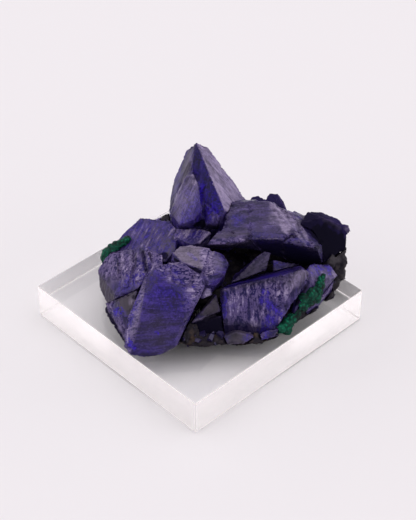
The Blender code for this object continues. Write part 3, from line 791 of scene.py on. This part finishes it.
# %% Front right crystal
RIBBED_FACE = (0.01, -0.86, 0.5)
TOP_BAND = (-0.25, 0.48, 0.84)
dress("right_front_crystal", blue, (0.08, -0.55, -0.83), 0.1, 0.42, 0.0, [
    stroke("etch", 0.85, (9, -13.8, 20.3), (20, -13.5, 21.5), 3.6, RIBBED_FACE, 1.0),
    stroke("etch", 0.75, (10, -17, 15.5), (20, -17, 14), 3.6, RIBBED_FACE, 1.0),
    stroke("dark", 0.7, (6, -13, 21), (5.9, -17.5, 13), 1.0, fade=1.0),
    faces_toward("dark", 0.45, TOP_BAND, 30),
    stroke("dark", 0.75, (7, -11.2, 20.6), (15, -10.8, 22), 0.7),
    stroke("vivid", 0.8, (14, -11.4, 21.6), (22, -10.6, 23), 0.9),
    stroke("vivid", 0.55, (8, -10.4, 20.2), (22, -9.2, 23.4), 2.0, TOP_BAND, 1.0),
    stroke("vivid", 0.9, (6.3, -13.9, 20.3), (6.3, -16.5, 15.5), 0.8),
    spot("vivid", 0.9, (16.9, -13.6, 20.5), 1.0, fade=0.8),
    stroke("vivid", 0.8, (16.5, -14.6, 18.6), (21.4, -16.2, 15.4), 1.1, fade=1.0),
    stroke("vivid", 0.8, (18.6, -17, 14.2), (16.6, -18.5, 12), 1.5, fade=1.0),
    stroke("pale", 0.5, (22.4, -12.6, 22.3), (26.6, -10.5, 24.8), 1.4, fade=1.0),
    stroke("grey", 0.6, (22, -13, 21.5), (26.6, -10.5, 24.8), 1.8, fade=1.0),
    stroke("dark", 0.5, (8, -12.8, 21.4), (21, -11.8, 23.8), 0.9, fade=1.4),
    stroke("dark", 0.7, (7.5, -18.2, 12.5), (19, -18.6, 12), 2.0, fade=1.2),
], 0.6, 0.9)

# %% [markdown]
# The block at the left edge is the most deeply etched, into worn ribs with slits between them, which
# are painted in shade. The plate behind it and the small lid on it are smoother, with a grey film in
# the notch between them and the cap, partly a painted grey sheen, and a little painted shade.

# %% Left block, rear plate and its lid
dress("left_block_crystal", blue, (-0.12, -0.72, -0.6), 0.16, 0.7, 0.0, [
    stroke("grey", 0.5, (-24, -5.5, 20), (-14, -9, 23.2), 3.6, fade=1.0),
    stroke("etch", 0.9, (-23.5, -2.5, 20.5), (-14, -9, 23.2), 4.2, fade=0.8),
    stroke("dark", 0.6, (-20.8, -3.2, 22), (-20.4, -7.8, 20.6), 0.35, fade=0.8),
    stroke("dark", 0.6, (-16.2, -3.2, 24), (-16, -7.4, 23), 0.35, fade=0.8),
    stroke("etch", 0.9, (-12.5, -5, 25.3), (-9.6, -7.5, 25.4), 2.5),
    spot("pale", 0.15, (-22.6, -2.8, 20.6), 2.4, fade=1.0),
    stroke("pale", 0.35, (-19.8, -1.5, 22.8), (-19.5, -6, 21.6), 0.6, fade=0.8),
    stroke("pale", 0.4, (-17.6, -1.6, 23.8), (-17.3, -6.5, 23), 0.5, fade=0.8),
    stroke("vivid", 0.5, (-18.5, -10.5, 20.5), (-14.5, -10.5, 22.5), 2.0, fade=1.2),
    spot("vivid", 0.4, (-13.4, -7.2, 24.2), 2.2, fade=1.2),
    stroke("dark", 0.8, (-14.2, -3.6, 25), (-13.2, -9.5, 23.9), 0.7, fade=1.0),
    stroke("dark", 0.7, (-12.6, -4.6, 25.5), (-11.6, -7.6, 25.3), 0.5),
    stroke("grey", 0.9, (-25.3, -4.5, 17), (-22.5, -11.2, 15.5), 2.4, fade=0.8),
], 0.8, 0.5)
dress("left_plate_crystal", blue, (-0.39, -0.88, -0.27), 0.06, 0.5, 0.1, [
    stroke("vivid", 0.35, (-17, 8, 23.8), (-9, 1, 24.2), 6.0, fade=1.2),
    stroke("etch", 0.4, (-15.5, 9.5, 24.5), (-16.5, 0, 22.4), 3.6, fade=1.2),
    stroke("etch", 0.5, (-14, 6, 24.1), (-12, -1, 23.4), 4.2, fade=1.2),
    spot("grey", 0.9, (-8.6, -0.8, 24.2), 2.7, fade=0.6),
    stroke("vivid", 0.6, (-12.6, 5, 24.2), (-15.5, -2, 22.2), 1.6, fade=1.2),
    spot("dark", 0.8, (-9.2, -3.4, 23.6), 1.4),
    spot("etch", 0.7, (-10.6, -2.4, 23.6), 2.0),
    stroke("dark", 0.6, (-5.6, 5.6, 26.2), (-7, 1.8, 25.2), 0.4),
    stroke("etch", 0.9, (-5, 4, 26.6), (1.8, 1.8, 26.8), 3.4, fade=0.6),
    stroke("pale", 0.12, (-5, 4, 26.6), (1.8, 1.8, 26.8), 3.4, fade=0.6),
    stroke("vivid", 0.4, (-4.5, 4, 26.6), (1.5, 2, 26.8), 1.8, fade=1.2),
    stroke("pale", 0.7, (2.6, 1.7, 26.9), (0.3, -0.6, 25.9), 0.45),
], 0.4)

# %% [markdown]
# The thickest crystal, at the right end, lets no light through and is nearly black; painted shade,
# standing for the dark that its faces mirror, makes its front faces blacker still. The one in front of
# it carries a green crust and is blue again, with a pale corner and a stroke of painted shade.

# %% Right end
dress("dark_end_crystal", black_and_shade, (0.3, 0.2, -1.0), 0.03, 0.8, 0.05, [
    stroke("dark", 0.95, (30.5, 2.5, 25), (35, 2.5, 22), 4.4),
    spot("dark", 0.7, (27.5, 3.6, 30.2), 5.0, fade=1.0),
    stroke("grey", 0.4, (31.6, 4.4, 29.9), (35.6, 4.6, 27), 0.6, fade=0.6),
    spot("pale", 0.4, (38.1, 4.4, 26.8), 1.0, fade=0.8),
])
dress("right_rear_crystal", blue, (0.5, -0.5, -0.5), 0.1, 0.7, 0.0, [
    stroke("vivid", 0.75, (27, -6.5, 22.6), (33, -4, 20), 1.5, fade=1.0),
    stroke("pale", 0.3, (29.5, -7.5, 21.5), (33, -6, 19), 2.0, fade=1.0),
    spot("etch", 0.5, (29, -8, 19.5), 5.0, fade=1.0),
    spot("pale", 0.8, (34.4, -4, 18.9), 1.0),
    stroke("dark", 0.7, (27.4, -9.8, 20.8), (24.8, -13, 16.5), 0.6),
], 0.4)

# %% [markdown]
# The small crystals in the hollow and the crevices are duller, most of them under a grey film that is
# also a painted sheen, and painted shade darkens them towards their feet. The low one at the left has
# a spot of bright blue.

# %% Small crystals of the hollow and the crevices
dress("blade_crystal", blue, (0.8, 0.5, 0.4), 0.03, 0.6, 0.0, [
    faces_toward("grey", 0.7, (0, -0.5, 0.85), 60),
    faces_toward("etch", 0.4, (0, -0.5, 0.85), 60),
    stroke("dark", 0.55, (10, -8, 21.5), (20, -5.5, 22), 2.5, fade=1.2),
], 0.9)
dress("wedge_crystal", blue, (1.0, 0.1, -0.3), 0.06, 0.6, 0.0, [
    spot("etch", 0.6, (21.3, -4.7, 22.2), 5.0),
    stroke("dark", 0.6, (24, -4, 21.5), (19, -5.5, 21), 1.6, fade=1.2),
    spot("vivid", 0.6, (20.5, -4.7, 22.5), 2.0, fade=1.2),
])
dress("nook_crystal", blue, (0.3, -0.7, -0.7), 0.04, 0.6, 0.0, [
    spot("grey", 0.95, (3.2, -15.5, 16.8), 3.0),
    stroke("pale", 0.7, (-1, -18, 14.6), (2.5, -17, 15.1), 0.5),
    stroke("dark", 0.95, (2, -18.5, 12.5), (6, -17.5, 13), 3.6, fade=0.8),
])
dress("low_left_crystal", blue, (0.3, -0.8, -0.6), 0.09, 0.8, 0.0, [
    spot("grey", 0.95, (-17.5, -14.8, 19), 3.6),
    spot("pale", 0.5, (-16.8, -15.6, 18.7), 0.9, fade=0.8),
    stroke("vivid", 1.0, (-20.9, -15.7, 15.2), (-19.3, -16.6, 16.4), 1.1),
    stroke("etch", 0.8, (-23, -12.4, 14.7), (-19, -19.8, 12.5), 2.4),
    stroke("grey", 0.8, (-23.2, -12, 13.5), (-19, -20.5, 12), 1.8, fade=1.0),
    stroke("dark", 0.85, (-23.6, -12.2, 13), (-18.6, -21.5, 11), 1.1, fade=0.6),
], 0.9, 0.8)

# %% [markdown]
# Three small crystals lie along the rim. One list of patches serves them all, because a patch leaves
# alone whatever is out of its reach.

# %% Rim
# On the rim, each `dark` spot is painted shade and the `grey` spot is partly a painted sheen.
for node in ("rim_crystal_left", "rim_crystal_right", "rim_crystal_end"):
    dress(node, blue, (0.8, -0.3, -0.3), 0.08, 0.6, 0.0, [
        spot("grey", 0.9, (11, -21, 12.2), 3.6),
        spot("dark", 0.6, (8.4, -20.2, 12.4), 1.7, fade=0.8),
        spot("vivid", 0.5, (12.4, -21, 12.2), 1.0, fade=1.2),
        spot("vivid", 0.7, (16.6, -19.2, 12.6), 1.8, fade=1.2),
        spot("dark", 0.5, (18.4, -19.2, 12), 1.2, fade=0.8),
        spot("etch", 0.5, (17.5, -19.4, 12.2), 4.0, fade=1.0),
        spot("etch", 0.7, (31, -8, 14), 6.0),
    ])

# %% [markdown]
# The photograph doesn't show the rear. Its crystals get the same habits, plainer: two dark ones whose
# tips show over the roof, and four blue ones with an etched patch here and there.

# %% Rear side
for node in ("back_crystal_right", "back_crystal_middle"):
    dress(node, black_and_shade, (0.2, 0.3, -1.0), 0.06, 0.8, 0.05)
for node in ("back_wedge_crystal", "back_crystal_left", "back_low_crystal", "back_splinter_crystal"):
    dress(node, blue, (0.2, 0.6, -1.0), 0.08, 0.8, 0.08, [
        spot("etch", 0.9, (-10, 17, 19), 5.0, fade=0.8),
        spot("etch", 0.8, (3, 23, 21), 5.0, fade=0.8),
        spot("pale", 0.3, (0, 22, 25), 5.0, fade=1.0),
    ])

# %% [markdown]
# ## Malachite
#
# The green crusts are made of velvety tufts of malachite needles. The knobs of the solid are broken
# up into small tufts: cells whose middles stand out, with fine needles on them. Their tips are painted
# paler, a painted highlight where they catch more light, and the gaps between them nearly black, as
# painted shade. `roughen` does what `dress` does without grain or edges, and serves the rock too.

# %% Malachite material
CREVICE_SHADE_GREEN = rgba(0.001, 0.010, 0.008)
DEEP_GREEN = rgba(0.001, 0.050, 0.030)
LIT_TIP_GREEN = rgba(0.004, 0.19, 0.095)
NEEDLE_SCALE = 2200
CLUMP_SCALE = 330
NEEDLE_HEIGHT = 0.08 * MM


def malachite():
    made, graph, shader = new_material("malachite")
    place = graph.add("ShaderNodeTexCoord").outputs["Object"]
    fine = graph.noise(place, NEEDLE_SCALE, 3, 0.6)
    broad = graph.noise(place, CLUMP_SCALE, 2, 0.5)
    high = graph.sum((graph.mark("crest"), 0.35), (fine, 0.45), (broad, 0.7))
    # Painted light and shade: the tips of the tufts lighter, the gaps between them nearly black.
    colour = graph.blend(graph.spread(high, 0.5, 0.72), CREVICE_SHADE_GREEN, DEEP_GREEN)
    colour = graph.blend(graph.spread(high, 0.72, 1.05), colour, LIT_TIP_GREEN)
    graph.feed(shader.inputs["Base Color"], colour)
    shader.inputs["Roughness"].default_value = 0.6
    shader.inputs["Specular IOR Level"].default_value = 0.15
    needles = graph.add("ShaderNodeBump", {"Height": fine, "Distance": NEEDLE_HEIGHT, "Strength": 0.6})
    graph.feed(shader.inputs["Normal"], needles.outputs["Normal"])
    return made


# %% Crusts
CRUST_CELL = 0.14 * MM
LEFT_CRUST_GROWTH = 0.4 * MM
TUFT_SIZE = 0.8 * MM
TUFT_WARP_SIZE = 0.6 * MM
TUFT_RISE = 0.22 * MM
TUFT_SEED = 7
NEEDLE_SIZE = 0.22 * MM
NEEDLE_RISE = 0.07 * MM
ROUNDED = radians(70)
ROCK_MARKS = ("ochre", "bare")


def roughen(node, finish, cell, bump, crisp, patches=(), grow=CLOSE_GAP):
    """Remesh a node, move every point outwards by bump(place), and stand it for the node."""
    coarse = merged(node, grow)
    faces = BVHTree.FromBMesh(coarse)
    piece = object_from(node + "_surface", coarse)
    even_cells(piece, cell)
    moves = []
    marks = {name: [] for name in ("crest", *ROCK_MARKS)}
    for vertex in piece.data.vertices:
        place = vertex.co
        _, normal, _, _ = faces.find_nearest(place)
        rise, crest = bump(place)
        painted = painted_marks(ROCK_MARKS, patches, place, normal)
        moves.append(normal * rise)
        marks["crest"].append(crest)
        for name in ROCK_MARKS:
            marks[name].append(painted[name])
    shape_surface(piece.data, moves, marks)
    finish_piece(piece, finish, node, crisp)


def tufts(place):
    """Tufts that stand out from the crust: how far it rises here, and how high that is from 0 to 1."""
    warped = place / TUFT_SIZE + noise.noise_vector(place / TUFT_WARP_SIZE) * 0.4
    far, _ = noise.voronoi(warped)
    high = 1 - min(1.0, far[0] / 0.7)
    needles = noise.noise(place / NEEDLE_SIZE)
    return TUFT_RISE * (high - 0.5) + NEEDLE_RISE * needles, limited(high + 0.25 * needles)


# noise_vector starts from the clock unless it is given a seed, and each run has to look the same.
noise.seed_set(TUFT_SEED)
green = malachite()
roughen("malachite_crust_left", green, CRUST_CELL, tufts, ROUNDED,
        grow=LEFT_CRUST_GROWTH)
roughen("malachite_crust_right", green, CRUST_CELL, tufts, ROUNDED)

# %% [markdown]
# ## Host rock
#
# What the crystals grew on is a dark, iron-stained rock. It is seen only along the lower edge and in
# the crevices. Ochre shows where the front rim is broken, one grey lump is bare at the right end, and
# elsewhere it is nearly black.

# %% Host rock
ROCK_BLACK = rgba(0.008, 0.006, 0.012)
ROCK_DARK = rgba(0.025, 0.020, 0.022)
ROCK_OCHRE = rgba(0.060, 0.040, 0.026)
ROCK_GREY = rgba(0.062, 0.057, 0.066)
ROCK_CELL = 0.3 * MM
GRIT_SCALE = 900
STAIN_SCALE = 300
GRIT_HEIGHT = 0.15 * MM
LUMP_SIZE = 1.3 * MM
ROCK_GRAIN = 0.5 * MM


def host_rock():
    made, graph, shader = new_material("host_rock")
    place = graph.add("ShaderNodeTexCoord").outputs["Object"]
    fine = graph.noise(place, GRIT_SCALE, 5, 0.65)
    broad = graph.noise(place, STAIN_SCALE, 3, 0.5)
    high = graph.sum((graph.mark("crest"), 0.5), (fine, 0.5))
    colour = graph.blend(graph.spread(high, 0.35, 0.8), ROCK_BLACK, ROCK_DARK)
    stain = graph.math("MULTIPLY", graph.mark("ochre"), graph.spread(broad, 0.48, 0.65, 0.0, 0.8))
    colour = graph.blend(stain, colour, ROCK_OCHRE)
    fresh = graph.math("MULTIPLY", graph.mark("bare"), graph.spread(fine, 0.35, 0.55, 0.5, 1.0))
    colour = graph.blend(fresh, colour, ROCK_GREY)
    graph.feed(shader.inputs["Base Color"], colour)
    shader.inputs["Roughness"].default_value = 0.5
    shader.inputs["Specular IOR Level"].default_value = 0.15
    grains = graph.add("ShaderNodeBump", {"Height": fine, "Distance": GRIT_HEIGHT, "Strength": 0.6})
    graph.feed(shader.inputs["Normal"], grains.outputs["Normal"])
    return made


def broken(place):
    """Broken lumps about a millimetre across."""
    far, middles = noise.voronoi(place / LUMP_SIZE)
    lump = 0.5 * noise.cell(middles[0] * 3.3) - min(1.0, far[0])
    rough = noise.noise(place / ROCK_GRAIN)
    return (0.28 * lump + 0.12 * rough) * MM, limited(0.7 + 0.6 * lump + 0.3 * rough)


roughen("host_rock", host_rock(), ROCK_CELL, broken, ROUNDED, [
    stroke("ochre", 1.0, (-6, -20.5, 11.3), (16, -21.5, 11), 3.0),
    spot("ochre", 0.5, (24, -16, 11.5), 2.5),
    spot("bare", 0.7, (34.6, 0.9, 20.6), 2.2, fade=0.5),
])

# %% [markdown]
# ## Druse
#
# Where no large crystal covers the rock, a crust of small dark azurite crystals does. Each is a
# tapered box, turned at random and sunk into the rock. Places are drawn from the solid's faces by
# their area, faces that look down stay bare, and a few larger crystals are placed one by one in the
# front crevice. A fixed seed makes the same crust each time.

# %% Small crystals on the rock
DRUSE_TRIES = 900
DRUSE_SEED = 11
DRUSE_SIZES = (0.35, 0.9)
MOSTLY_SMALL = 1.5
DRUSE_LEAN = 0.5
DRUSE_EDGE = 0.04 * MM
FACES_DOWN = -0.3
# The crystals that show against the tent, past this place at the right end, are kept smaller.
DRUSE_END = 31 * MM
DRUSE_END_SHARE = 0.55
# Each is placed by x, y and z on the specimen, with its size, all in millimetres.
PLACED = (
    (3.1, -21.2, 11.9, 2.0), (0.1, -22, 11.7, 1.7), (-3.3, -17.2, 11.6, 1.3),
    (5.6, -20, 12, 1.8), (1.2, -20, 12.1, 1.5),
)

chance = random.Random(DRUSE_SEED)
rock = merged("host_rock", CLOSE_GAP)
areas = [face.calc_area() for face in rock.faces]
druse = bmesh.new()


def small_crystal(place, out, size):
    """Sink one tapered box into the ground at a place where the ground looks `out`."""
    lean = Vector([chance.uniform(-DRUSE_LEAN, DRUSE_LEAN) for _ in range(3)])
    stand = (out + lean).to_track_quat("Z", "Y").to_matrix()
    stand = stand @ Matrix.Rotation(chance.uniform(0, 6), 3, "Z")
    for vertex in bmesh.ops.create_cube(druse, size=size)["verts"]:
        narrow = chance.uniform(0.5, 0.95) if vertex.co.z > 0 else 1.0
        long = chance.uniform(0.9, 1.4)
        vertex.co = Vector((vertex.co.x * narrow, vertex.co.y * narrow * 0.7, vertex.co.z * long))
        vertex.co = place + stand @ vertex.co


for face in chance.choices(rock.faces[:], areas, k=DRUSE_TRIES):
    corners = [vertex.co for vertex in face.verts]
    shares = sorted((chance.random(), chance.random()))
    place = corners[0] * shares[0] + corners[1] * (shares[1] - shares[0]) + corners[2] * (1 - shares[1])
    size = chance.uniform(*DRUSE_SIZES) ** MOSTLY_SMALL * MM
    if place.dot(toward(1, 0, 0)) > DRUSE_END:
        size *= DRUSE_END_SHARE
    if face.normal.z > FACES_DOWN:
        small_crystal(place, face.normal.copy(), size)
for x, y, z, size in PLACED:
    small_crystal(at(x, y, z), toward(0, -0.6, 0.8), size * MM)
rock.free()
print("druse:", len(druse.faces) // 6, "crystals")
bmesh.ops.bevel(druse, geom=druse.edges[:], offset=DRUSE_EDGE, segments=1, affect="EDGES")
finish_piece(object_from("rock_druse", druse), azurite("azurite_druse", 0.8, 0.3, 0.25), None,
             CRYSTAL_CRISP)

# %% [markdown]
# ## Clear block
#
# The block is cast acrylic. Light passes in at one face, is mirrored inside the others and leaves at
# the far side, so its sides look as bright as the tent behind it. The level faces are polished. The
# four sides are sawn and only half polished, which blurs what is seen through them. The narrow edge
# faces are left as they were scraped: they scatter light and show as pale lines. At 0.12 mm they are
# as narrow as the real ones, where the solid's are wide enough to be cut safely. Plain transmission
# and an index make all three, so they export as they are.

# %% Clear acrylic
ACRYLIC_INDEX = 1.49
EDGE_WIDTH = 0.12 * MM
STRAIGHT = 0.999
LEVEL, SIDE, EDGE = range(3)


def acrylic(name, colour, transmission, roughness):
    made, _, shader = new_material(name)
    shader.inputs["Base Color"].default_value = colour
    shader.inputs["Transmission Weight"].default_value = transmission
    shader.inputs["IOR"].default_value = ACRYLIC_INDEX
    shader.inputs["Roughness"].default_value = roughness
    return made


low, high = (Vector(corner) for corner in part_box("acrylic_block"))
bm = bmesh.new()
bmesh.ops.create_cube(bm, size=1)
bmesh.ops.scale(bm, vec=high - low, verts=bm.verts[:])
bmesh.ops.translate(bm, vec=(low + high) / 2, verts=bm.verts[:])
bmesh.ops.bevel(bm, geom=bm.edges[:], offset=EDGE_WIDTH, segments=1, affect="EDGES")
block = object_from("acrylic_block_surface", bm)
finish_piece(block, acrylic("clear_acrylic", rgba(1, 1, 1), 1.0, 0.0), "acrylic_block",
             CRYSTAL_CRISP)
# The faint cream tint of the sawn sides is painted warm light.
block.data.materials.append(acrylic("sawn_acrylic", rgba(1, 0.99, 0.97), 1.0, 0.26))
block.data.materials.append(acrylic("scraped_acrylic", rgba(0.98, 0.96, 0.93), 0.1, 0.6))
block.data.shade_flat()
for polygon in block.data.polygons:
    level = abs(polygon.normal.z) > STRAIGHT
    straight = max(abs(share) for share in polygon.normal) > STRAIGHT
    polygon.material_index = LEVEL if level else SIDE if straight else EDGE
